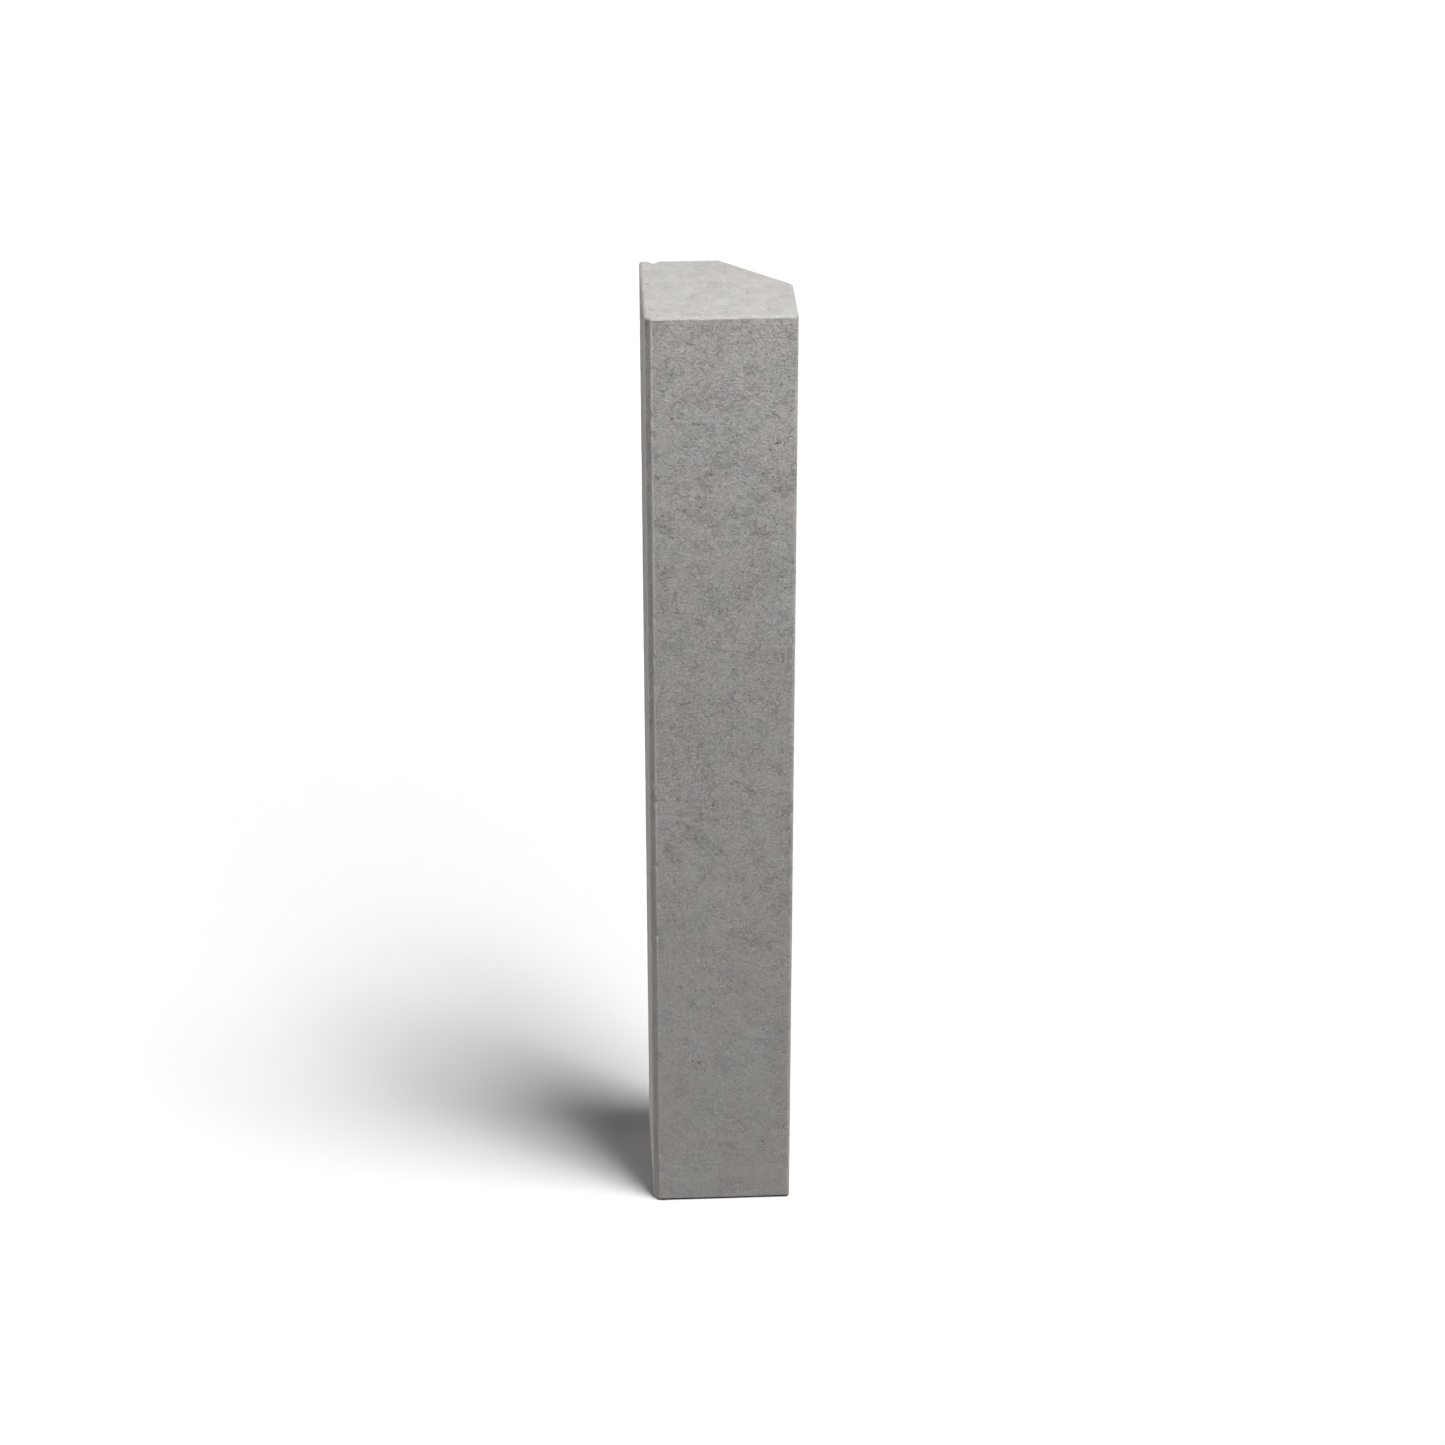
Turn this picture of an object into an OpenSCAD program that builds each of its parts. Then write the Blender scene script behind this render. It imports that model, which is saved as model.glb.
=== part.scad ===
// Precast concrete barrier unit, standing on one end. Millimetres.
// One casting with a 45 degree splay and a V groove, around a steel cage and two lifting anchors.
// X runs across the bed face, Y from the bed face towards the grooved top face, Z along the length.
// The origin is at the centre of the lower end's bounding rectangle.

/* [Concrete body] */
// Length of the unit, along Z
body_l = 3000; // [2500:10:4000]
// Width of the bed face, along X
body_w = 432; // [400:1:520]
// Depth from the bed face to the top face, along Y
body_d = 447; // [420:1:520]
// Leg of the 45 degree splay between the traffic face and the top face
splay_leg = 200; // [120:1:220]
// Width of the chamfer between the bed face and the rear face
bed_chamfer_w = 18; // [10:1:30]
// Depth of the same chamfer
bed_chamfer_d = 22; // [10:1:30]
// Leg of the small arris on the other long edges and around both ends
arris = 7; // [4:0.5:10]

/* [V groove] */
// Distance from the rear face to the bottom of the groove
groove_x = 41; // [36:1:60]
// Depth of the groove, whose sides are at 45 degrees
groove_depth = 25; // [8:1:26]

/* [Steel cage] */
// Concrete cover outside the links
cover = 45; // [40:1:60]
// Diameter of the link bars
link_dia = 8; // [6:1:10]
// Centreline radius of the link bends
link_bend_r = 20; // [18:1:30]
// Distance from each end to the first link
link_end_gap = 60; // [55:5:70]
// Diameter of the main bars
main_dia = 12; // [8:1:14]
// Distance from each end to the main bars
main_end_cover = 40; // [30:5:50]
// Diameter of the U-bars at the ends
ubar_dia = 10; // [8:1:12]
// Length of the U-bar legs
ubar_leg = 320; // [200:10:360]

/* [Lifting anchors] */
// Distance from each end to its anchor, as a share of the length
anchor_share = 0.22; // [0.21:0.01:0.24]
// Distance from the splay's upper edge to the anchors
anchor_inset = 50; // [48:1:60]
// Bore of the socket, at the thread's nominal diameter
socket_bore = 20; // [16:1:24]
// Outer diameter of the socket
socket_dia = 30; // [28:1:36]
// Length of the socket
socket_len = 90; // [80:1:110]
// Depth of the socket's bore
socket_bore_len = 45; // [30:1:50]
// Diameter of the recess in the concrete over the socket
recess_dia = 48; // [44:1:60]
// Depth of that recess
recess_depth = 10; // [6:1:15]
// Diameter of the bar bent through the socket's cross hole
tail_dia = 12; // [10:1:14]

/* [Cover spacers] */
// Thickness of the spacer wheels
wheel_t = 12; // [8:1:16]
// Radial thickness of a wheel's rim
wheel_rim = 4; // [3:0.5:6]
// Number of spacer wheels on each face, along the unit
wheels_per_face = 3; // [2:1:4]

/* [Hidden] */
concrete_col = [0.63, 0.62, 0.60];
bar_col = [0.42, 0.30, 0.24];
tie_col = [0.30, 0.29, 0.29];
socket_col = [0.72, 0.73, 0.74];
wheel_col = [0.28, 0.29, 0.31];

// Curves are rebuilt exactly, so this only sets how smooth they look in a preview.
$fn = 32;

// Gap between bars that lie against each other, so that every piece is its own solid
gap = 0.5;
// Length by which a cutting shape passes a face
over = 5;

// The section is drawn with its corner of origin where the planes of the rear and bed faces meet.
// Corner of the section, moved by this, comes to the part's frame.
section_move = [-body_w / 2, -body_d / 2, 0];
traffic_h = body_d - splay_leg;
top_w = body_w - splay_leg;
sqrt2 = sqrt(2);
// Leg, along each face, of the arris on the obtuse edges of the splay
obtuse_arris = arris / sqrt2;

// Outline of the section, anticlockwise from the bed face
section = [
    [bed_chamfer_w, 0],
    [body_w - arris, 0],
    [body_w, arris],
    [body_w, traffic_h - obtuse_arris],
    [body_w - obtuse_arris / sqrt2, traffic_h + obtuse_arris / sqrt2],
    [top_w + obtuse_arris / sqrt2, body_d - obtuse_arris / sqrt2],
    [top_w - obtuse_arris, body_d],
    [groove_x + groove_depth, body_d],
    [groove_x, body_d - groove_depth],
    [groove_x - groove_depth, body_d],
    [arris, body_d],
    [0, body_d - arris],
    [0, bed_chamfer_d]
];

// Edges of the plain section, each as a point on the edge, the direction of its outward normal,
// and the leg of its arris. The chamfer's is smaller, so that no four planes meet in one point.
end_edges = [
    [[body_w / 2, 0], -90, arris],
    [[body_w, traffic_h / 2], 0, arris],
    [[body_w - splay_leg / 2, traffic_h + splay_leg / 2], 45, arris],
    [[top_w / 2, body_d], 90, arris],
    [[0, body_d / 2], 180, arris],
    [
        [bed_chamfer_w / 2, bed_chamfer_d / 2],
        180 + atan2(bed_chamfer_w, bed_chamfer_d),
        arris * 0.75
    ]
];

// Corners of the link's centreline, anticlockwise from the rear bed corner
link_inset = cover + link_dia / 2;
link_splay_sum = body_w + traffic_h - link_inset * sqrt2;
link_far_x = body_w - link_inset;
link_far_y = body_d - link_inset;
link_corners = [
    [link_inset, link_inset],
    [link_far_x, link_inset],
    [link_far_x, link_splay_sum - link_far_x],
    [link_splay_sum - link_far_y, link_far_y],
    [link_inset, link_far_y]
];
// Angle by which the link turns at each corner
link_turns = [90, 90, 45, 45, 90];
// Direction of the leg that leaves each corner
link_headings = [0, 90, 135, 180, 270];
corner_count = len(link_corners);

// Distance from a corner to where its bend starts
function bend_reach(i) = link_bend_r * tan(link_turns[i] / 2);
function heading(a) = [cos(a), sin(a)];
// Point on the leg after corner i where its bend has ended
function leg_start(i) = link_corners[i] + bend_reach(i) * heading(link_headings[i]);
// Centre of the bend at corner i
function bend_centre(i) = leg_start(i) + link_bend_r * heading(link_headings[i] + 90);
// Direction from a bend's centre to its corner
function corner_heading(i) = link_headings[i] - 90 - link_turns[i] / 2;
function leg_length(i) =
    norm(link_corners[(i + 1) % corner_count] - link_corners[i])
    - bend_reach(i) - bend_reach((i + 1) % corner_count);
function leg_middle(i) = leg_start(i) + leg_length(i) / 2 * heading(link_headings[i]);

// A bar is drawn slightly thinner through a bend, and each leg laps a short way over the bend
bend_neck = 0.1;
bend_lap = 0.2;

// Number of links along the unit. Each one is a node.
link_count = 13;
link_pitch = (body_l - 2 * link_end_gap) / (link_count - 1);
function link_z(i) = link_end_gap + i * link_pitch;

// Main bars: one inside each bend, and one in the middle of the bed leg and of the rear leg
corner_bar_reach = link_bend_r - link_dia / 2 - main_dia / 2 - gap;
side_bar_inset = link_dia / 2 + main_dia / 2 + gap;
main_bars = concat(
    [for (i = [0:corner_count - 1])
        bend_centre(i) + corner_bar_reach * heading(corner_heading(i))],
    [for (i = [0, 4])
        leg_middle(i) + side_bar_inset * heading(link_headings[i] + 90)]
);
// Direction from each main bar to the link leg or bend that it lies against
main_bar_backs = concat(
    [for (i = [0:corner_count - 1]) corner_heading(i)],
    [for (i = [0, 4]) link_headings[i] - 90]
);

// U-bars at each end: the wide one spans X and the deep one spans Y, one behind the other
ubar_bend_r = 30;
ubar_end_cover = 42;
ubar_side_inset = link_inset + link_dia / 2 + ubar_dia / 2 + 3;
wide_ubar_y = body_d * 0.40;
wide_ubar_span = [ubar_side_inset, body_w - ubar_side_inset];
deep_ubar_x = body_w * 0.36;
deep_ubar_span = [ubar_side_inset, body_d - ubar_side_inset];
ubar_step = ubar_dia + gap;

// Lifting anchors
anchor_x = top_w - anchor_inset;
anchor_z = [anchor_share * body_l, (1 - anchor_share) * body_l];
socket_top_y = body_d - recess_depth;
tail_y = socket_top_y - 68;
tail_bend_r = 36;
tail_half_span = 75;
tail_leg = 170;
socket_hole_dia = tail_dia + 2 * gap;
mouth_chamfer = 1.5;

// Tie wires loop round each crossing of a main bar and a link
tie_wire = 1.6;
tie_ring_r = (link_dia + main_dia + gap) / 2 + 2.2;
tie_tail = 14;

// Spacer wheels, clipped to links
wheel_r = link_inset - 1;
wheel_hub_r = link_dia / 2 + gap + 4;
wheel_spoke = 4;
wheel_spokes = 6;
wheel_clip_slot = link_dia - 2;
// Share of each link leg at which its wheels sit. The splay's leg carries none.
wheel_shares = [0.24, 0.24, 0, 0.5, 0.24];
wheel_legs = [0, 1, 3, 4];
function wheel_link(k) = round((k + 0.5) * link_count / wheels_per_face - 0.5);

// ---- shared shapes, in the section's own coordinates ----

// Round bar from a point along a heading in the XY plane
module flat_bar(from, angle, length, dia) {
    translate(from)
        rotate([0, 0, angle])
            rotate([0, 90, 0])
                cylinder(d = dia, h = length);
}

// Part of a ring in the XY plane, about the origin, from one angle through a turn
module ring_arc(radius, start, turn, dia) {
    rotate([0, 0, start])
        rotate_extrude(angle = turn)
            translate([radius, 0])
                circle(d = dia);
}

// Closed link as a solid: its straight legs, and its bends, which neck a little
module link_loop(dia) {
    for (i = [0:corner_count - 1]) {
        turn = link_turns[i];
        leg_from = leg_start(i) - bend_lap * heading(link_headings[i]);
        flat_bar(leg_from, link_headings[i], leg_length(i) + 2 * bend_lap, dia);
        translate(bend_centre(i))
            ring_arc(link_bend_r, link_headings[i] - 90 - turn, turn, dia - bend_neck);
    }
}

// U-bar in the XY plane: the crosspiece lies along X at Y = 0, and the legs run along +Y
module u_bar(low, high, leg, bend_r, dia) {
    flat_bar([low + bend_r, 0], 0, high - low - 2 * bend_r, dia);
    for (side = [0, 1]) {
        x = side == 0 ? low : high;
        centre_x = side == 0 ? low + bend_r : high - bend_r;
        translate([centre_x, bend_r])
            ring_arc(bend_r, side == 0 ? 180 : 270, 90, dia);
        flat_bar([x, bend_r], 90, leg - bend_r, dia);
    }
}

// ---- pieces, in the section's own coordinates ----

module main_bar_piece(i) {
    translate([main_bars[i][0], main_bars[i][1], main_end_cover])
        cylinder(d = main_dia, h = body_l - 2 * main_end_cover);
}

// A link, with the bead of its butt weld on the rear leg
module link_piece(i) {
    weld_len = 4;
    weld_swell = 1.6;
    weld_at = leg_start(4) + 60 * heading(link_headings[4]);
    translate([0, 0, link_z(i)]) {
        link_loop(link_dia);
        flat_bar(weld_at, link_headings[4], weld_len, link_dia + weld_swell);
    }
}

// U-bars of the lower end; the upper end's are their mirror image
module wide_ubar_piece() {
    translate([0, wide_ubar_y, ubar_end_cover])
        rotate([90, 0, 0])
            u_bar(wide_ubar_span[0], wide_ubar_span[1], ubar_leg, ubar_bend_r, ubar_dia);
}

module deep_ubar_piece() {
    translate([deep_ubar_x, 0, ubar_end_cover + ubar_step])
        rotate([90, 0, 90])
            u_bar(deep_ubar_span[0], deep_ubar_span[1], ubar_leg, ubar_bend_r, ubar_dia);
}

module at_upper_end() {
    translate([0, 0, body_l])
        mirror([0, 0, 1])
            children();
}

// Socket: a steel tube with a blind bore from its mouth and a cross hole near its foot
module socket_piece(i) {
    translate([anchor_x, socket_top_y, anchor_z[i]]) {
        difference() {
            rotate([90, 0, 0])
                cylinder(d = socket_dia, h = socket_len);
            translate([0, over, 0])
                rotate([90, 0, 0])
                    cylinder(d = socket_bore, h = socket_bore_len + over);
            rotate([90, 0, 0])
                translate([0, 0, -0.01])
                    cylinder(r1 = socket_bore / 2 + mouth_chamfer + 0.01,
                             r2 = socket_bore / 2, h = mouth_chamfer + 0.01);
            translate([0, tail_y - socket_top_y, -socket_dia])
                cylinder(d = socket_hole_dia, h = 2 * socket_dia);
        }
    }
}

// Anchor tail: a bar through the cross hole, bent down on both sides
module tail_piece(i) {
    translate([anchor_x, tail_y, anchor_z[i]])
        rotate([180, 90, 0])
            u_bar(-tail_half_span, tail_half_span, tail_leg, tail_bend_r, tail_dia);
}

// A ring of tie wire, tilted across a crossing, with its twisted end pointing into the cage
module tie_piece(bar, i) {
    back = main_bar_backs[bar];
    middle = main_bars[bar] + (link_dia / 2 + gap / 2) * heading(back);
    translate([middle[0], middle[1], link_z(i)])
        rotate([0, 0, back + 180])
            rotate([45, 0, 0]) {
                rotate_extrude()
                    translate([tie_ring_r, 0])
                        circle(d = tie_wire, $fn = 6);
                translate([tie_ring_r, 0, 0])
                    rotate([0, 90, 0])
                        cylinder(d = 2 * tie_wire, h = tie_tail);
            }
}

// Outline of a spacer wheel about the origin, with its clip open towards +X
module wheel_outline() {
    hub_lap = 1;
    difference() {
        union() {
            difference() {
                circle(r = wheel_r);
                circle(r = wheel_r - wheel_rim);
            }
            circle(r = wheel_hub_r);
            for (k = [0:wheel_spokes - 1])
                rotate((k + 0.5) * 360 / wheel_spokes)
                    translate([wheel_hub_r - hub_lap, -wheel_spoke / 2])
                        square([wheel_r - wheel_rim / 2 - wheel_hub_r + hub_lap, wheel_spoke]);
        }
        circle(r = link_dia / 2 + gap);
        translate([0, -wheel_clip_slot / 2])
            square([wheel_hub_r + hub_lap, wheel_clip_slot]);
    }
}

// The wheels on one leg of the links
module wheels_piece(leg) {
    at = leg_start(leg) + wheel_shares[leg] * leg_length(leg) * heading(link_headings[leg]);
    for (k = [0:wheels_per_face - 1])
        translate([at[0], at[1], link_z(wheel_link(k))])
            rotate([0, 0, link_headings[leg]])
                rotate([0, 90, 0])
                    linear_extrude(height = wheel_t, center = true)
                        wheel_outline();
}

// A long wedge whose face cuts an arris along one edge of the lower end
module end_wedge(edge) {
    reach = 2 * body_w;
    translate([edge[0][0], edge[0][1], 0])
        rotate([0, 0, edge[1]])
            translate([-edge[2], 0, 0])
                rotate([0, 45, 0])
                    translate([0, -reach / 2, 0])
                        cube([reach / 10, reach, reach / 10]);
}

// The casting without the spaces that its steel fills
module casting() {
    difference() {
        linear_extrude(height = body_l)
            polygon(section);
        for (edge = end_edges) {
            end_wedge(edge);
            at_upper_end()
                end_wedge(edge);
        }
        for (z = anchor_z)
            translate([anchor_x, body_d + over, z])
                rotate([90, 0, 0])
                    cylinder(d = recess_dia, h = recess_depth + over);
    }
}

// Everything cast into the concrete, as one shape to cut away
module cast_in_steel() {
    for (i = [0:len(main_bars) - 1])
        main_bar_piece(i);
    for (i = [0:link_count - 1])
        link_piece(i);
    wide_ubar_piece();
    deep_ubar_piece();
    at_upper_end()
        wide_ubar_piece();
    at_upper_end()
        deep_ubar_piece();
    for (i = [0, 1]) {
        translate([anchor_x, socket_top_y + over, anchor_z[i]])
            rotate([90, 0, 0])
                cylinder(d = socket_dia, h = socket_len + over);
        tail_piece(i);
    }
    for (bar = [0:len(main_bars) - 1])
        for (i = [0:link_count - 1])
            tie_piece(bar, i);
    for (leg = wheel_legs)
        wheels_piece(leg);
}

// ---- nodes, in the part's frame ----

module concrete_body() {
    color(concrete_col)
        translate(section_move)
            difference() {
                casting();
                cast_in_steel();
            }
}

module main_bar(i) {
    color(bar_col)
        translate(section_move)
            main_bar_piece(i);
}

module link(i) {
    color(bar_col)
        translate(section_move)
            link_piece(i);
}

module ubar_lower_wide() {
    color(bar_col)
        translate(section_move)
            wide_ubar_piece();
}

module ubar_lower_deep() {
    color(bar_col)
        translate(section_move)
            deep_ubar_piece();
}

module ubar_upper_wide() {
    color(bar_col)
        translate(section_move)
            at_upper_end()
                wide_ubar_piece();
}

module ubar_upper_deep() {
    color(bar_col)
        translate(section_move)
            at_upper_end()
                deep_ubar_piece();
}

module lifting_socket(i) {
    color(socket_col)
        translate(section_move)
            socket_piece(i);
}

module anchor_tail(i) {
    color(bar_col)
        translate(section_move)
            tail_piece(i);
}

module tie_wires() {
    color(tie_col)
        translate(section_move)
            for (bar = [0:len(main_bars) - 1])
                for (i = [0:link_count - 1])
                    tie_piece(bar, i);
}

module spacer_wheels(leg) {
    color(wheel_col)
        translate(section_move)
            wheels_piece(leg);
}

concrete_body();
main_bar(0);  // main_bar_rear_bed
main_bar(1);  // main_bar_traffic_bed
main_bar(2);  // main_bar_traffic_shoulder
main_bar(3);  // main_bar_splay_top
main_bar(4);  // main_bar_rear_top
main_bar(5);  // main_bar_mid_bed
main_bar(6);  // main_bar_mid_rear
link(0);  // link_01
link(1);  // link_02
link(2);  // link_03
link(3);  // link_04
link(4);  // link_05
link(5);  // link_06
link(6);  // link_07
link(7);  // link_08
link(8);  // link_09
link(9);  // link_10
link(10);  // link_11
link(11);  // link_12
link(12);  // link_13
ubar_lower_wide();
ubar_lower_deep();
ubar_upper_wide();
ubar_upper_deep();
lifting_socket(0);  // lifting_socket_lower
lifting_socket(1);  // lifting_socket_upper
anchor_tail(0);  // anchor_tail_lower
anchor_tail(1);  // anchor_tail_upper
tie_wires();
spacer_wheels(0);  // spacer_wheels_bed
spacer_wheels(1);  // spacer_wheels_traffic
spacer_wheels(3);  // spacer_wheels_top
spacer_wheels(4);  // spacer_wheels_rear
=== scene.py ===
"""Precast concrete barrier unit, standing on one end in a plain studio.

The casting is a dense mesh with real relief: worn and chipped arrises, bug holes, scabbed
patches and the mould's waves. The steel and plastic pieces cast into it keep their CAD shapes.
"""

import math

import bmesh
import bpy
import numpy as np
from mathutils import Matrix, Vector


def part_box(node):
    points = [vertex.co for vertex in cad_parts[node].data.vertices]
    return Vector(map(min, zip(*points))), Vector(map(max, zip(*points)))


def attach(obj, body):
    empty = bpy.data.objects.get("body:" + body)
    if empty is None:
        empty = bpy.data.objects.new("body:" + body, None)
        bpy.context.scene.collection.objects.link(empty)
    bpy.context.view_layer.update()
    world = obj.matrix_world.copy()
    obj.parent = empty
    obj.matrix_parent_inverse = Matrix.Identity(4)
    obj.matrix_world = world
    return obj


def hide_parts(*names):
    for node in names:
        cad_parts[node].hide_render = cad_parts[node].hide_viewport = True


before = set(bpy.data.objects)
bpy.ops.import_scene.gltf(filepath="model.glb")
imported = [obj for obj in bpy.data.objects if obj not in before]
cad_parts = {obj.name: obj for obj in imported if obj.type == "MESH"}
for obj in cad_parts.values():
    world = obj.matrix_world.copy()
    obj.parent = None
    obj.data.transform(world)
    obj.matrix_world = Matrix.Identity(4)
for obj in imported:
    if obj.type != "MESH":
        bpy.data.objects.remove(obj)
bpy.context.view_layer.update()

SEED = 7
MM = 0.001

# The casting, in metres. The section has its own coordinates: u from the rear face and v from
# the bed face
LOW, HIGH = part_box("concrete_body")
WIDTH, DEPTH, LENGTH = HIGH - LOW
SPLAY_LEG = 0.200
CHAMFER_U, CHAMFER_V = 0.018, 0.022
ARRIS = 0.007
CHAMFER_END_ARRIS = 0.75 * ARRIS
GROOVE_U, GROOVE_DEPTH = 0.041, 0.025
SPLAY_SUM = WIDTH + DEPTH - SPLAY_LEG
SQRT2 = math.sqrt(2)
RECESS_R, RECESS_DEPTH = 0.024, 0.010
SOCKETS = ["lifting_socket_lower", "lifting_socket_upper"]

# Spacing of the casting's mesh, and how fast it widens away from a break
COARSE, FINE = 0.005, 0.0020
SPACING_GROWTH = 0.35

# How deep each kind of relief goes in
WAVE_DEPTH = 0.4 * MM
SKIN_DEPTH = 0.3 * MM
CHIP_DEPTH = 2.0 * MM

# Bug holes: how many, the shortest mesh edge that gives one room, and the most that the edge
# attribute may be there
BUG_HOLES = 260
BUG_HOLE_ROOM = 3.2 * MM
BUG_HOLE_EDGE_LIMIT = 0.15


# ---- the casting's outline ----


def section_low(u, inset=0.0):
    """The v of the section's bed side at u, moved in by inset at the ends."""
    slope = CHAMFER_V / CHAMFER_U
    chamfer_inset = inset * CHAMFER_END_ARRIS / ARRIS * math.hypot(1, slope)
    chamfer = CHAMFER_V - slope * u + chamfer_inset
    corner = u - (WIDTH - ARRIS)
    return max(inset, chamfer, corner)


def section_high(u, inset=0.0):
    """The v of the section's splay and top side at u, moved in by inset at the ends."""
    splay = SPLAY_SUM - u - inset * SQRT2
    groove = DEPTH - max(GROOVE_DEPTH - abs(u - GROOVE_U), 0.0)
    rear_corner = DEPTH - ARRIS + u
    steep = DEPTH - SPLAY_LEG + (1 + SQRT2) * (WIDTH - u) - ARRIS / SQRT2
    shallow = DEPTH + (SQRT2 - 1) * (WIDTH - SPLAY_LEG - ARRIS / SQRT2 - u)
    return min(DEPTH - inset, splay, groove, rear_corner, steep, shallow)


def stations(breaks, coarse, fine):
    """Values from the first break to the last, through every break, closer together beside them."""
    values = [breaks[0]]
    for start, end in zip(breaks, breaks[1:]):
        span = end - start
        steps = [0.0]
        while steps[-1] < span / 2:
            steps.append(steps[-1] + min(fine + SPACING_GROWTH * steps[-1], coarse))
        half = np.array(steps) * (span / 2 / steps[-1])
        inner = np.concatenate([half, span - half[-2::-1]])
        values.extend(start + inner[1:])
    return np.array(values)


def squeeze(u, inset):
    """Moves both ends of the width in by inset, and fades that out over a short way."""
    reach = 2 * ARRIS
    near, far = np.clip(1 - u / reach, 0, 1), np.clip(1 - (WIDTH - u) / reach, 0, 1)
    return u + inset * (near - far)


def section_point(i, j, inset=0.0):
    """The point of the section's grid in column i and row j."""
    u = squeeze(COLUMNS[i], inset)
    low, high = section_low(u, inset), section_high(u, inset)
    return u, low + (high - low) * ROWS[j]


COLUMNS = stations(
    [
        0.0,
        ARRIS,
        GROOVE_U - GROOVE_DEPTH,
        CHAMFER_U,
        GROOVE_U,
        GROOVE_U + GROOVE_DEPTH,
        WIDTH - SPLAY_LEG,
        WIDTH - 0.6 * ARRIS,
        WIDTH,
    ],
    COARSE,
    FINE,
)
ROWS = stations([0.0, DEPTH], COARSE, FINE) / DEPTH
LAST_COLUMN, LAST_ROW = len(COLUMNS) - 1, len(ROWS) - 1
RIM = (
    [(i, 0) for i in range(LAST_COLUMN)]
    + [(LAST_COLUMN, j) for j in range(LAST_ROW)]
    + [(i, LAST_ROW) for i in range(LAST_COLUMN, 0, -1)]
    + [(0, j) for j in range(LAST_ROW, 0, -1)]
)


def rim_ring(inset, z):
    """One ring of points round the casting at height z."""
    points = [section_point(i, j, inset) for i, j in RIM]
    return [(u, v, z) for u, v in points]


def casting_levels():
    """Height and inset of each ring, from the lower end's cap to the upper end's."""
    bevel = [(ARRIS * k / 3, ARRIS * (1 - k / 3)) for k in range(3)]
    wall = [(z, 0.0) for z in stations([ARRIS, LENGTH - ARRIS], COARSE, FINE)]
    top = [(LENGTH - z, inset) for z, inset in reversed(bevel)]
    return bevel + wall + top


def casting_grid():
    """Points and faces of the plain casting, in section coordinates."""
    levels = casting_levels()
    points = []
    for z, inset in levels:
        points.extend(rim_ring(inset, z))
    count = len(RIM)
    faces = []
    for level in range(len(levels) - 1):
        base = level * count
        for k in range(count):
            after = (k + 1) % count
            faces.append((base + k, base + after, base + count + after, base + count + k))
    rim_index = {cell: k for k, cell in enumerate(RIM)}
    for top in (False, True):
        ring_base = (len(levels) - 1) * count if top else 0
        z = LENGTH if top else 0.0
        index = {cell: ring_base + k for cell, k in rim_index.items()}
        for i in range(1, LAST_COLUMN):
            for j in range(1, LAST_ROW):
                index[i, j] = len(points)
                u, v = section_point(i, j, ARRIS)
                points.append((u, v, z))
        for i in range(LAST_COLUMN):
            for j in range(LAST_ROW):
                cell = (index[i, j], index[i + 1, j], index[i + 1, j + 1], index[i, j + 1])
                faces.append(cell if top else cell[::-1])
    return np.array(points), faces


# ---- seeded noise ----


def lattice(cell, seed):
    """A repeatable value from 0 to 1 for each integer cell, from mixing by large odd factors."""
    h = cell[:, 0] * 374761393 + cell[:, 1] * 668265263 + cell[:, 2] * 2147483647 + seed * 974711
    h = (h ^ (h >> 13)) * 1274126177 & 0x7FFFFFFF
    h = (h ^ (h >> 16)) * 668265263 & 0x7FFFFFFF
    return (h ^ (h >> 15)) / 0x7FFFFFFF


def value_noise(points, size, seed):
    """Smooth noise from 0 to 1 whose features are about size across."""
    p = points / size
    cell = np.floor(p).astype(np.int64)
    f = p - cell
    f = f * f * (3 - 2 * f)
    total = np.zeros(len(points))
    for corner in range(8):
        bits = np.array([corner & 1, corner >> 1 & 1, corner >> 2 & 1])
        weight = np.where(bits, f, 1 - f).prod(axis=1)
        total += weight * lattice(cell + bits, seed)
    return total


def fractal(points, size, octaves, seed):
    """Noise from 0 to 1 with finer and weaker layers."""
    total, weight, share = np.zeros(len(points)), 0.0, 1.0
    for k in range(octaves):
        total += share * value_noise(points, size / 2**k, seed + 31 * k)
        weight += share
        share *= 0.55
    return total / weight


def smooth_step(low, high, x):
    """0 at low and 1 at high, and smooth between them. Low may be the larger of the two."""
    t = np.clip((x - low) / (high - low), 0, 1)
    return t * t * (3 - 2 * t)


# ---- relief ----


def edge_distance(points):
    """How far each surface point is from the nearest arris."""
    u, v, z = points.T
    slope = math.hypot(CHAMFER_U, CHAMFER_V)
    planes = np.array(
        [
            u,
            WIDTH - u,
            v,
            DEPTH - v,
            (SPLAY_SUM - u - v) / SQRT2,
            (u * CHAMFER_V + v * CHAMFER_U - CHAMFER_U * CHAMFER_V) / slope,
            z,
            LENGTH - z,
        ]
    )
    return np.sort(np.abs(planes), axis=0)[1]


def relief_depth(points, edge):
    """How far each point of the casting goes in, in metres."""
    # Slow waves of the mould, and its fine skin
    depth = WAVE_DEPTH * fractal(points, 0.55, 2, SEED)
    inner = smooth_step(0, 12 * MM, edge)
    depth += inner * SKIN_DEPTH * fractal(points, 0.045, 3, SEED + 1)
    # Patches where the skin has come off, with ragged borders
    patch = smooth_step(0.57, 0.61, fractal(points * (1, 1, 1.4), 0.09, 4, SEED + 2))
    depth += inner * patch * (0.1 + 0.5 * fractal(points, 0.012, 2, SEED + 3)) * MM
    # Arrises worn round, and chips broken out of them
    rub = fractal(points, 0.06, 3, SEED + 4)
    depth += np.exp(-edge / (3 * MM)) * (0.1 + 0.4 * rub) * MM
    broken = smooth_step(0.66, 0.76, fractal(points, 0.022, 3, SEED + 5))
    depth += broken * np.exp(-((edge / (5 * MM)) ** 2)) * CHIP_DEPTH
    return depth


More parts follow.
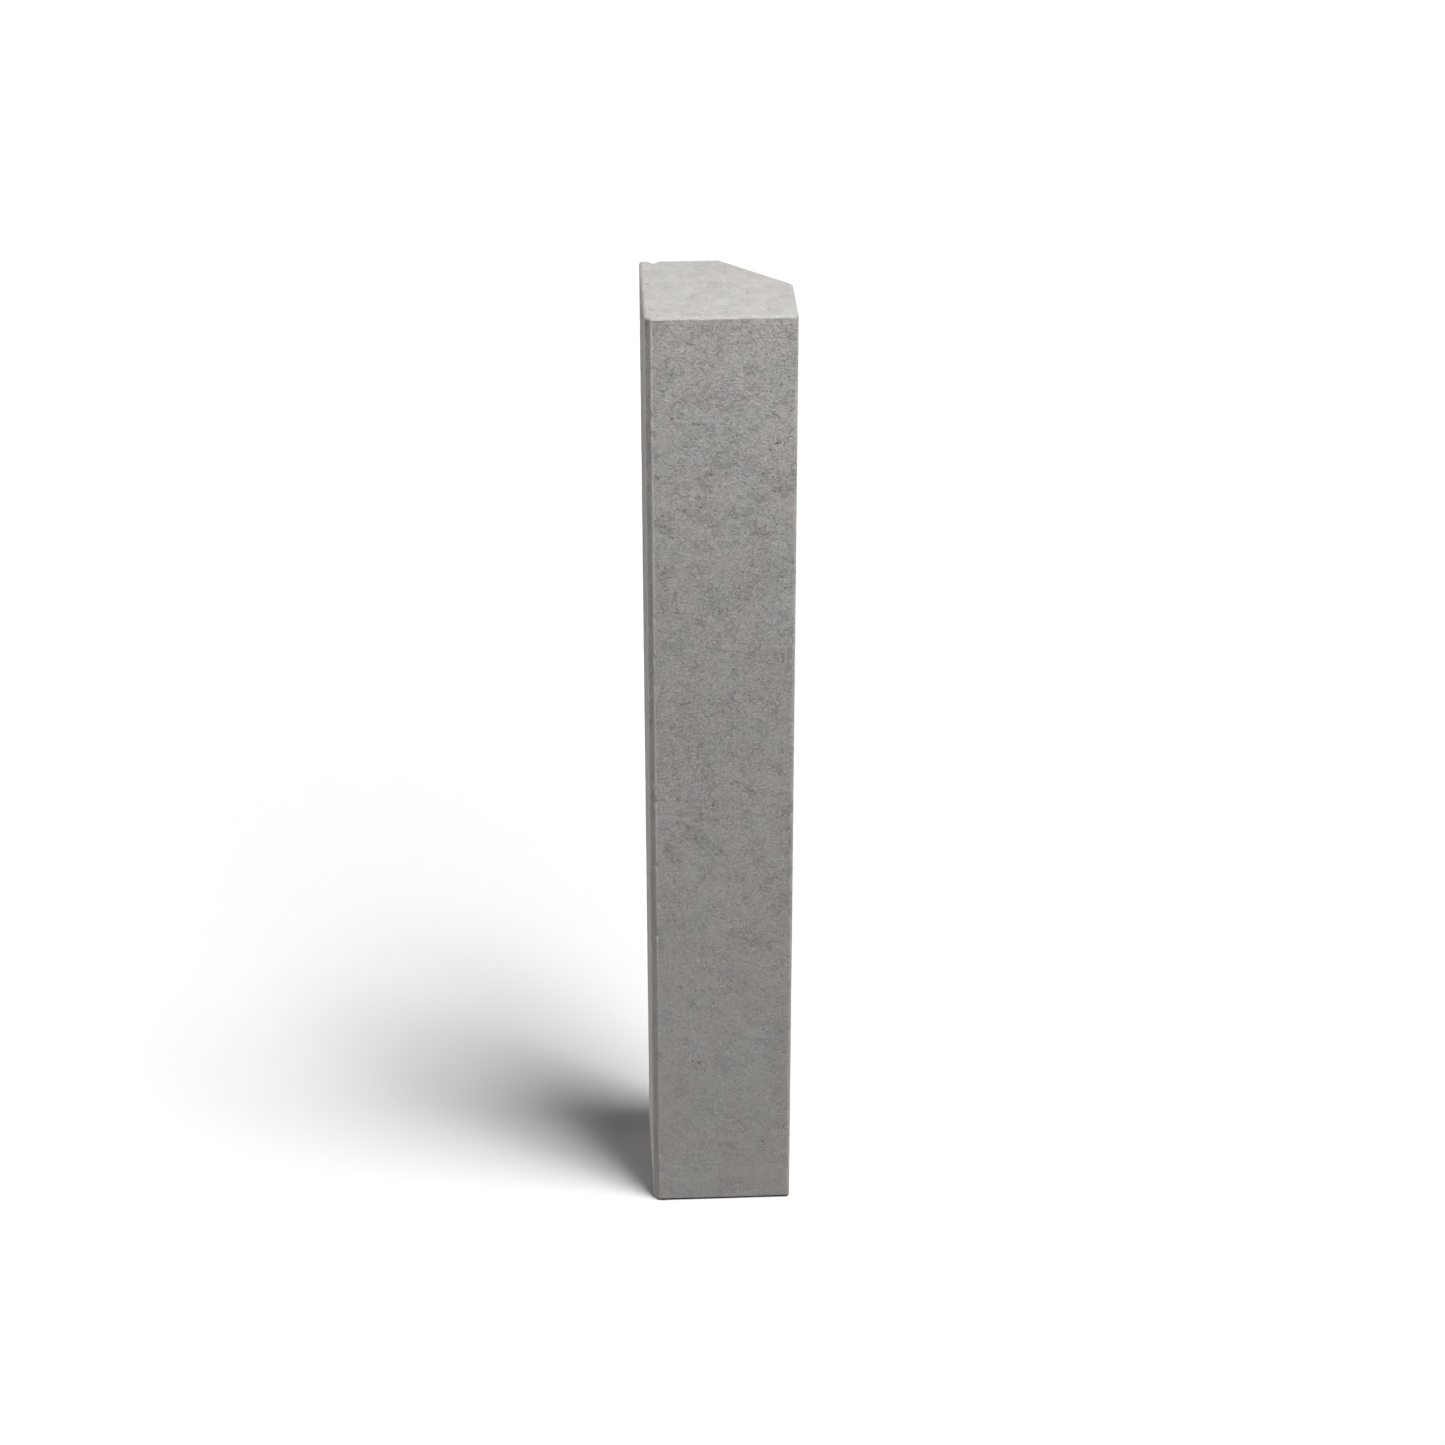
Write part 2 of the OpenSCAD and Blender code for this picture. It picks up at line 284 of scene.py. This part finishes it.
class Openings:
    """Round openings let into the mesh: each replaces some faces by rings.

    Faces are kept in lists, because the order of a set of faces changes from run to run.
    """

    def __init__(self, bm):
        self.bm = bm
        self.hole = bm.verts.layers.float["hole"]
        self.edge = bm.verts.layers.float["edge"]
        self.used = set()
        self.old_faces = []

    def border(self, faces):
        """The corners round a patch of faces, in order."""
        after = {}
        for face in faces:
            for loop in face.loops:
                if all(other in faces for other in loop.edge.link_faces if other != face):
                    continue
                after[loop.vert] = loop.link_loop_next.vert
        corner = next(iter(after))
        corners = []
        for _ in after:
            corners.append(corner)
            corner = after[corner]
        return corners

    def ring_angles(self, corners, centre, along, across, multiple):
        """Angles round the centre: one at each corner, and multiple - 1 more before the next."""
        angles = []
        for corner in corners:
            reach = corner.co - centre
            angles.append(math.atan2(reach.dot(across), reach.dot(along)))
        steps = []
        for a, b in zip(angles, angles[1:] + angles[:1]):
            turn = (b - a + math.pi) % (2 * math.pi) - math.pi
            steps.extend(a + turn * part / multiple for part in range(multiple))
        return steps

    def sink(self, faces, centre, normal, profile, multiple):
        """Fills a patch with rings of (radius, depth), then a closed floor."""
        corners = self.border(faces)
        across = (corners[0].co - centre).cross(normal).normalized()
        along = normal.cross(across)
        steps = self.ring_angles(corners, centre, along, across, multiple)
        last = None
        count = len(steps)
        for radius, depth in profile:
            ring = []
            for angle in steps:
                out = math.cos(angle) * along + math.sin(angle) * across
                vert = self.bm.verts.new(centre + radius * out - depth * normal)
                # How deep the point lies in the opening, from 0 to 1, which the material paints as
                # shade
                vert[self.hole] = min(depth / profile[-1][1], 1.0)
                ring.append(vert)
            if last is None:
                for k, corner in enumerate(corners):
                    following = corners[(k + 1) % len(corners)]
                    part = [ring[(k * multiple + m) % count] for m in range(multiple, -1, -1)]
                    self.bm.faces.new([corner, following, *part])
            else:
                for k in range(count):
                    m = (k + 1) % count
                    self.bm.faces.new([last[k], last[m], ring[m], ring[k]])
            last = ring
        floor = self.bm.verts.new(centre - profile[-1][1] * normal)
        floor[self.hole] = 1.0
        for k in range(count):
            self.bm.faces.new([last[k], last[(k + 1) % count], floor])
        self.old_faces.extend(faces)

    def recess(self, name):
        """The recess over a lifting socket, and the pocket that the socket fills."""
        low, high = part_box(name)
        centre = Vector(((low.x + high.x) / 2, HIGH.y, (low.z + high.z) / 2))
        pocket_r = (high.x - low.x) / 2 + 0.1 * MM
        reach = RECESS_R + 6 * MM
        faces = []
        for face in self.bm.faces:
            middle = face.calc_center_median()
            gap = middle - centre
            if abs(gap.x) < reach and abs(gap.z) < reach and abs(gap.y) < 5 * MM:
                faces.append(face)
        self.used.update(vert for face in faces for vert in face.verts)
        deep = RECESS_DEPTH + (high.y - low.y) + 2 * MM
        profile = [
            (RECESS_R + 2.5 * MM, 1.2 * MM),
            (RECESS_R + 0.8 * MM, 1.6 * MM),
            (RECESS_R, 3.0 * MM),
            (RECESS_R - 0.3 * MM, 6.5 * MM),
            (RECESS_R - 0.8 * MM, RECESS_DEPTH),
            (RECESS_R - 4.0 * MM, RECESS_DEPTH + 0.4 * MM),
            (pocket_r, RECESS_DEPTH + 0.2 * MM),
            (pocket_r, deep),
        ]
        self.sink(faces, centre, Vector((0, 1, 0)), profile, 1)

    def bug_holes(self, count, rng):
        """Small round holes that air left in the skin."""
        verts = list(self.bm.verts)
        while count:
            vert = verts[rng.integers(0, len(verts))]
            faces = list(vert.link_faces)
            near = {v for face in faces for v in face.verts}
            gap = min((edge.calc_length() for edge in vert.link_edges), default=0)
            cramped = vert[self.edge] > BUG_HOLE_EDGE_LIMIT or gap < BUG_HOLE_ROOM
            if cramped or len(faces) != 4 or near & self.used:
                continue
            self.used |= near
            radius = min((1.0 + 3.2 * rng.random() ** 2) * MM, 0.86 * gap)
            deep = radius * (0.7 + 0.6 * rng.random())
            profile = [
                (1.10 * radius, 0.0),
                (radius, 0.25 * deep),
                (0.86 * radius, 0.7 * deep),
                (0.5 * radius, deep),
            ]
            self.sink(faces, vert.co.copy(), vert.normal.copy(), profile, 2)
            count -= 1

    def finish(self):
        """Takes out the faces that the openings replace."""
        bmesh.ops.delete(self.bm, geom=self.old_faces, context="FACES")


def link(obj):
    bpy.context.scene.collection.objects.link(obj)


def build_casting():
    """The concrete piece, with the attributes that its material reads."""
    points, faces = casting_grid()
    mesh = bpy.data.meshes.new("concrete_casting")
    mesh.from_pydata(points.tolist(), [], faces)
    mesh.update()
    normals = np.zeros(len(points) * 3)
    mesh.vertices.foreach_get("normal", normals)
    edge = edge_distance(points)
    depth = relief_depth(points, edge)
    moved = points - normals.reshape(-1, 3) * depth[:, None] + np.array(LOW)
    mesh.vertices.foreach_set("co", moved.ravel())
    z = points[:, 2]
    # 1 on the end faces and their arrises, and 0 on the long faces
    near_end = smooth_step(12 * MM, 6 * MM, np.minimum(z, LENGTH - z))
    for name, values in (
        ("edge", np.exp(-edge / (6 * MM))),
        ("hole", np.zeros(len(points))),
        ("calm", near_end),
    ):
        layer = mesh.attributes.new(name, "FLOAT", "POINT")
        layer.data.foreach_set("value", values.astype(np.float32))
    mesh.update()
    bm = bmesh.new()
    bm.from_mesh(mesh)
    openings = Openings(bm)
    for name in SOCKETS:
        openings.recess(name)
    openings.bug_holes(BUG_HOLES, np.random.default_rng(SEED))
    openings.finish()
    bm.to_mesh(mesh)
    bm.free()
    mesh.shade_smooth()
    piece = bpy.data.objects.new("concrete_casting", mesh)
    link(piece)
    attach(piece, "root")
    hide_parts("concrete_body")
    return piece


# ---- materials ----


class Nodes:
    """Short helpers to write a node tree."""

    def __init__(self, name):
        self.material = bpy.data.materials.new(name)
        self.material.use_nodes = True
        self.tree = self.material.node_tree
        self.shader = self.tree.nodes["Principled BSDF"]
        self.place = self.tree.nodes.new("ShaderNodeTexCoord").outputs["Object"]

    def add(self, kind, **sockets):
        """A new node with its inputs fed by name."""
        node = self.tree.nodes.new("ShaderNode" + kind)
        for name, value in sockets.items():
            self.feed(node.inputs[name], value)
        return node

    def feed(self, socket, value):
        """Links an input to an output, or sets it to a plain value."""
        if isinstance(value, bpy.types.NodeSocket):
            self.tree.links.new(value, socket)
        else:
            socket.default_value = value

    def stretched(self, scale):
        """Coordinates scaled along each axis, so that marks are longer where the scale is small."""
        node = self.add("Mapping", Vector=self.place)
        node.inputs["Scale"].default_value = scale
        return node.outputs["Vector"]

    def slanted(self, angle, scale):
        """Coordinates turned about the unit's depth, then stretched."""
        turned = self.add("Mapping", Vector=self.place)
        turned.inputs["Rotation"].default_value = (0, angle, 0)
        node = self.add("Mapping", Vector=turned.outputs["Vector"])
        node.inputs["Scale"].default_value = scale
        return node.outputs["Vector"]

    def noise(self, scale, detail=4.0, rough=0.55, distortion=0.0, at=None):
        node = self.add(
            "TexNoise",
            Vector=at or self.place,
            Scale=scale,
            Detail=detail,
            Roughness=rough,
            Distortion=distortion,
        )
        return node.outputs["Fac"]

    def cell_distance(self, scale):
        """The distance to the nearest of many scattered points."""
        return self.add("TexVoronoi", Vector=self.place, Scale=scale).outputs["Distance"]

    def ramp(self, value, low, high, start=0.0, end=1.0):
        """Value from low to high mapped smoothly to start to end."""
        node = self.tree.nodes.new("ShaderNodeMapRange")
        node.interpolation_type = "SMOOTHSTEP"
        self.feed(node.inputs["Value"], value)
        for name, number in (
            ("From Min", low),
            ("From Max", high),
            ("To Min", start),
            ("To Max", end),
        ):
            node.inputs[name].default_value = number
        return node.outputs["Result"]

    def math(self, operation, a, b=0.0):
        node = self.tree.nodes.new("ShaderNodeMath")
        node.operation = operation
        self.feed(node.inputs[0], a)
        self.feed(node.inputs[1], b)
        return node.outputs[0]

    def mix(self, factor, a, b, blend="MIX"):
        node = self.tree.nodes.new("ShaderNodeMix")
        node.data_type = "RGBA"
        node.blend_type = blend
        self.feed(node.inputs["Factor"], factor)
        self.feed(node.inputs["A"], a if isinstance(a, bpy.types.NodeSocket) else (*a, 1))
        self.feed(node.inputs["B"], b if isinstance(b, bpy.types.NodeSocket) else (*b, 1))
        return node.outputs["Result"]

    def crease(self, value, width):
        """1 along the lines where the value is one half, and 0 beyond the width."""
        gap = self.math("ABSOLUTE", self.math("SUBTRACT", value, 0.5))
        return self.ramp(gap, 0.15 * width, width, 1.0, 0.0)

    def attribute(self, name):
        """A value stored on the mesh's points."""
        node = self.tree.nodes.new("ShaderNodeAttribute")
        node.attribute_name = name
        return node.outputs["Fac"]

    def bump(self, height, distance, strength=1.0, under=None):
        """The normal that a height gives, on top of the normal under it."""
        node = self.add("Bump", Height=height, Distance=distance, Strength=strength)
        if under is not None:
            self.feed(node.inputs["Normal"], under)
        return node.outputs["Normal"]


def grey(value):
    return (value,) * 3


# Colours of the concrete: its mottling, its end faces, its grain, painted shade in its creases,
# cracks, pits and holes, and its arrises, pale with wear and painted highlight
GREENISH, WARM, BLUISH = (0.628, 0.625, 0.577), (0.664, 0.608, 0.562), (0.632, 0.618, 0.620)
END_FACE = (0.645, 0.640, 0.625)
DARK, PALE = (0.34, 0.34, 0.335), (0.80, 0.79, 0.77)
CREASE_SHADE, HOLE_SHADE = (0.19, 0.195, 0.205), (0.22, 0.22, 0.21)
WORN_AND_HIGHLIGHT = (0.70, 0.692, 0.675)
# Factors on the colour: painted shade towards the foot and painted light towards the top, and
# painted shade on the end faces
PAINTED_FOOT_SHADE, PAINTED_TOP_LIGHT = grey(0.92), grey(1.07)
PAINTED_END_SHADES = grey(0.735), grey(0.645)


def skin_strength(n, calm, edge, height):
    """How rough the skin is: less on the end faces, at the arrises and towards the foot."""
    strength = n.math("MULTIPLY", n.ramp(calm, 0, 1, 1, 0.40), n.ramp(edge, 0.35, 0.85, 1, 0.4))
    return n.math("MULTIPLY", strength, n.ramp(height, 0.2, 2.2, 0.68, 1.05))


def mottled_colour(n, calm, height, cloud):
    """Patches of three greys, clouded, with painted light and shade by height and painted shade on
    the end faces.
    """
    drift = n.noise(8, 4, 0.6, 0.5, at=n.stretched((1, 1, 0.8)))
    tint = n.noise(16, 4, 0.6, 0.8)
    colour = n.mix(n.ramp(drift, 0.37, 0.55), GREENISH, WARM)
    colour = n.mix(n.ramp(tint, 0.54, 0.68, 0.0, 0.8), colour, BLUISH)
    colour = n.mix(n.ramp(calm, 0, 1, 0, 0.55), colour, END_FACE)
    colour = n.mix(n.ramp(cloud, 0.30, 0.70, 0.0, 0.25), colour, grey(0.93), "MULTIPLY")
    # Painted shade: darker towards the foot and lighter towards the top
    painted_height_shade = n.mix(n.ramp(height, 0.1, 2.9), PAINTED_FOOT_SHADE, PAINTED_TOP_LIGHT)
    colour = n.mix(1.0, colour, painted_height_shade, "MULTIPLY")
    # Painted shade on the end faces, in random patches, against the stronger light on the top end
    painted_end_shade = n.mix(n.ramp(n.noise(22, 3, 0.6, 0.4), 0.35, 0.65), *PAINTED_END_SHADES)
    return n.mix(calm, colour, n.mix(1.0, colour, painted_end_shade, "MULTIPLY"))


def crossed_creases(n, width, texture, layers):
    """Thin lines in two directions. A layer is its noise's scale, slant and scale along X."""
    lines = []
    for scale, angle, along in layers:
        at = n.slanted(angle, (along, 0.8, 1.0))
        lines.append(n.crease(n.noise(scale, *texture, at=at), width))
    return n.math("MAXIMUM", *lines)


def concrete_material():
    """Cast concrete: mottled greys with painted shade by height and on the ends, torn in clusters
    of fine creases darkened with painted shade, pale at its arrises with wear and painted
    highlight.
    """
    n = Nodes("cast_concrete")
    calm, edge, hole = n.attribute("calm"), n.attribute("edge"), n.attribute("hole")
    height = n.add("SeparateXYZ", Vector=n.place).outputs["Z"]
    cloud = n.noise(34, 5, 0.7, 0.6)
    rough_skin = skin_strength(n, calm, edge, height)
    colour = mottled_colour(n, calm, height, cloud)

    # Torn skin lies in clusters, where it has fine creases
    torn = n.ramp(n.noise(12, 4, 0.65, 0.8), 0.44, 0.60, 0.60, 1.0)
    torn = n.math("MULTIPLY", torn, n.ramp(n.noise(45, 3, 0.6, 0.6), 0.42, 0.56, 0.50, 1.0))
    torn = n.math("MULTIPLY", torn, rough_skin)
    creases = crossed_creases(n, 0.028, (2, 0.6, 0.5), [(150, -0.10, 0.28), (165, -0.62, 0.30)])
    tear = n.math("MULTIPLY", creases, torn)

    # Longer cracks and small pits lie in clusters of their own
    cracks = crossed_creases(n, 0.020, (4, 0.65, 0.4), [(42, -0.15, 0.45), (50, -0.65, 0.45)])
    cracks = n.math("MULTIPLY", cracks, n.ramp(n.noise(17, 3, 0.6, 0.5), 0.54, 0.61))
    cracks = n.math("MULTIPLY", cracks, rough_skin)
    pit = n.ramp(n.cell_distance(170), 0.08, 0.26, 1.0, 0.0)
    pit = n.math("MULTIPLY", pit, n.ramp(n.noise(60, 2, 0.5), 0.54, 0.60))
    pit = n.math("MULTIPLY", pit, rough_skin)

    # Grain and sand lie everywhere
    grain = n.noise(250, 3, 0.8, 0.5, at=n.slanted(-0.4, (0.65, 1.0, 1.0)))
    sand = n.noise(700, 2, 0.7)
    grainy = n.math("ADD", n.math("MULTIPLY", torn, 0.3), n.math("MULTIPLY", rough_skin, 0.75))

    colour = n.mix(n.math("MULTIPLY", n.ramp(grain, 0.34, 0.50, 0.95, 0.0), grainy), colour, DARK)
    colour = n.mix(n.math("MULTIPLY", n.ramp(grain, 0.50, 0.64, 0.0, 0.85), grainy), colour, PALE)
    colour = n.mix(n.ramp(sand, 0.25, 0.75, 0.0, 0.12), colour, DARK)
    # Painted shade in the creases, cracks and pits
    marks = n.math("MAXIMUM", n.math("MULTIPLY", tear, 0.22), n.math("MULTIPLY", pit, 0.50))
    marks = n.math("MAXIMUM", marks, n.math("MULTIPLY", cracks, 0.46))
    colour = n.mix(marks, colour, CREASE_SHADE)
    # Painted shade in the bug holes and socket recesses, darker with depth
    colour = n.mix(n.ramp(hole, 0.1, 0.9, 0.0, 0.5), colour, HOLE_SHADE)
    # Paler at the arrises: wear, and a painted highlight along them
    worn = n.math("MULTIPLY", n.ramp(edge, 0.5, 0.95), n.ramp(grain, 0.40, 0.56, 0.15, 0.35))
    n.feed(n.shader.inputs["Base Color"], n.mix(worn, colour, WORN_AND_HIGHLIGHT))

    n.feed(n.shader.inputs["Roughness"], n.ramp(cloud, 0.3, 0.7, 0.78, 0.95))
    n.shader.inputs["Specular IOR Level"].default_value = 0.3

    skin = n.math("ADD", grain, n.math("MULTIPLY", sand, 0.25))
    normal = n.bump(skin, 0.0075, n.math("MULTIPLY", grainy, 0.85))
    cuts = n.math("MAXIMUM", n.math("MAXIMUM", tear, pit), cracks)
    normal = n.bump(n.math("SUBTRACT", 1.0, cuts), 0.0013, 0.85, normal)
    n.feed(n.shader.inputs["Normal"], normal)
    return n.material


def rusty_steel_material(name, base, rust, scale):
    """Rolled steel under a thin, uneven rust film."""
    n = Nodes(name)
    film = n.noise(scale, 6, 0.65, 0.6)
    speck = n.noise(scale * 7, 3, 0.7)
    colour = n.mix(n.ramp(film, 0.38, 0.62), base, rust)
    colour = n.mix(n.ramp(speck, 0.5, 0.7, 0.0, 0.6), colour, tuple(0.5 * c for c in rust))
    n.feed(n.shader.inputs["Base Color"], colour)
    n.feed(n.shader.inputs["Metallic"], n.ramp(film, 0.38, 0.62, 0.9, 0.25))
    n.feed(n.shader.inputs["Roughness"], n.ramp(speck, 0.3, 0.7, 0.55, 0.9))
    n.feed(n.shader.inputs["Normal"], n.bump(speck, 0.0004, 0.8))
    return n.material


def zinc_material():
    """Turned, zinc-plated steel: fine turning marks and dull blotches."""
    n = Nodes("zinc_plated_steel")
    blotch = n.noise(120, 4, 0.6)
    colour = n.mix(n.ramp(blotch, 0.35, 0.65), (0.52, 0.53, 0.54), (0.66, 0.67, 0.68))
    rings = n.noise(900, 2, 0.5, at=n.stretched((0.05, 1.0, 0.05)))
    n.feed(n.shader.inputs["Base Color"], colour)
    n.shader.inputs["Metallic"].default_value = 1.0
    n.feed(n.shader.inputs["Roughness"], n.ramp(blotch, 0.3, 0.7, 0.32, 0.55))
    n.feed(n.shader.inputs["Normal"], n.bump(rings, 0.0002, 0.5))
    return n.material


def plastic_material():
    """Recycled moulding plastic with a faint swirl and a matt, pitted skin."""
    n = Nodes("spacer_plastic")
    swirl = n.noise(60, 4, 0.6, 1.5)
    colour = n.mix(n.ramp(swirl, 0.35, 0.65), (0.085, 0.087, 0.092), (0.125, 0.127, 0.132))
    n.feed(n.shader.inputs["Base Color"], colour)
    n.feed(n.shader.inputs["Roughness"], n.ramp(swirl, 0.3, 0.7, 0.5, 0.7))
    n.feed(n.shader.inputs["Normal"], n.bump(n.noise(500, 3, 0.6), 0.0002, 0.5))
    return n.material


def paint(obj, material):
    obj.data.materials.clear()
    obj.data.materials.append(material)


def paint_cast_in_pieces():
    rebar = rusty_steel_material("ribbed_bar_steel", (0.20, 0.17, 0.15), (0.24, 0.11, 0.055), 45)
    wire = rusty_steel_material("annealed_wire", (0.10, 0.095, 0.09), (0.16, 0.08, 0.045), 160)
    zinc, plastic = zinc_material(), plastic_material()
    for name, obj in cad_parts.items():
        if name.startswith("lifting_socket"):
            paint(obj, zinc)
        elif name.startswith("spacer_wheels"):
            paint(obj, plastic)
        elif name == "tie_wires":
            paint(obj, wire)
        elif name != "concrete_body":
            paint(obj, rebar)


# ---- studio ----

# The camera is fitted to the unit's corners in the photograph. Lengths are in widths of the unit
LENS_MM, SENSOR_MM = 86.8, 36.0
CAMERA_PITCH, CAMERA_YAW = math.radians(28.25), math.radians(2.92)
CAMERA_DISTANCE = 23.79 * WIDTH
CAMERA_AIM = Vector((0.0066 * WIDTH, LOW.y, 3.985 * WIDTH))

FLOOR_SIZE = 80
# The floor's colour near the unit, and a lighter colour far from it that stands in for light
FLOOR_NEAR, FLOOR_FAR_PAINTED_LIGHT = grey(0.81), grey(0.88)

# Suns as azimuth, elevation, strength and spread, in degrees and watts per square metre. The key
# is one broad light, high on the traffic side, made of four; the fills are low.
KEY_LIGHTS = [(50, 65, 1.32, 30), (66, 65, 1.13, 16), (42, 65, 1.11, 16), (78, 75, 0.26, 16)]
FILL_LIGHTS = [(-107, 4, 1.28, 12), (-120, 8, 0.84, 30), (30, 8, 0.41, 30)]
SUN_DISTANCE = 10

# Panels as name, power in watts, place, target and size
PANELS = [
    ("front_fill", 27, (1.5, -2.5, 4.0), (0, 0, 2.6), (1.5, 1.5)),
    ("high_fill", 5, (0.3, -1.5, 4.0), (0, 0, 2.6), (1.0, 1.0)),
]


def add_camera():
    data = bpy.data.cameras.new("camera")
    data.lens, data.sensor_width = LENS_MM, SENSOR_MM
    data.clip_end = 200
    camera = bpy.data.objects.new("camera", data)
    ahead = Vector(
        (
            math.sin(CAMERA_YAW) * math.cos(CAMERA_PITCH),
            math.cos(CAMERA_YAW) * math.cos(CAMERA_PITCH),
            -math.sin(CAMERA_PITCH),
        )
    )
    camera.location = CAMERA_AIM - CAMERA_DISTANCE * ahead
    camera.rotation_euler = (math.pi / 2 - CAMERA_PITCH, 0, -CAMERA_YAW)
    link(camera)
    bpy.context.scene.camera = camera


def add_floor():
    """A pale floor, painted lighter far from the unit, where the panels' light falls off."""
    mesh = bpy.data.meshes.new("studio_floor")
    bm = bmesh.new()
    bmesh.ops.create_grid(bm, x_segments=1, y_segments=1, size=FLOOR_SIZE)
    bm.to_mesh(mesh)
    bm.free()
    floor = bpy.data.objects.new("studio_floor", mesh)
    link(floor)
    n = Nodes("pale_floor")
    away = n.add("VectorMath", Vector=n.place)
    away.operation = "LENGTH"
    # Painted light: the floor grows lighter away from the unit
    shade = n.ramp(away.outputs["Value"], 1.5, 6.0)
    n.feed(n.shader.inputs["Base Color"], n.mix(shade, FLOOR_NEAR, FLOOR_FAR_PAINTED_LIGHT))
    n.shader.inputs["Roughness"].default_value = 1.0
    n.shader.inputs["Specular IOR Level"].default_value = 0.0
    floor.data.materials.append(n.material)
    # No light bounces off the floor onto the unit
    floor.visible_diffuse = False


def aim(obj, target):
    """Turns a light to shine at the target."""
    obj.rotation_euler = (Vector(target) - obj.location).to_track_quat("-Z", "Y").to_euler()


def add_sun(strength, azimuth, elevation, spread):
    """A broad, distant light. Azimuth 0 is in front of the unit and 90 on its traffic side."""
    data = bpy.data.lights.new("soft_key", "SUN")
    data.energy = strength
    data.angle = math.radians(spread)
    sun = bpy.data.objects.new("soft_key", data)
    a, e = math.radians(azimuth), math.radians(elevation)
    sun.location = SUN_DISTANCE * Vector(
        (math.sin(a) * math.cos(e), -math.cos(a) * math.cos(e), math.sin(e))
    )
    aim(sun, (0, 0, 0))
    link(sun)


def add_panel(name, power, at, target, size):
    data = bpy.data.lights.new(name, "AREA")
    data.shape = "RECTANGLE"
    data.energy = power
    data.size, data.size_y = size
    panel = bpy.data.objects.new(name, data)
    panel.location = at
    aim(panel, target)
    link(panel)


add_camera()
casting = build_casting()
paint(casting, concrete_material())
paint_cast_in_pieces()
add_floor()
for azimuth, elevation, strength, spread in KEY_LIGHTS + FILL_LIGHTS:
    add_sun(strength, azimuth, elevation, spread)
for panel in PANELS:
    add_panel(*panel)
bpy.context.scene.view_settings.view_transform = "Standard"
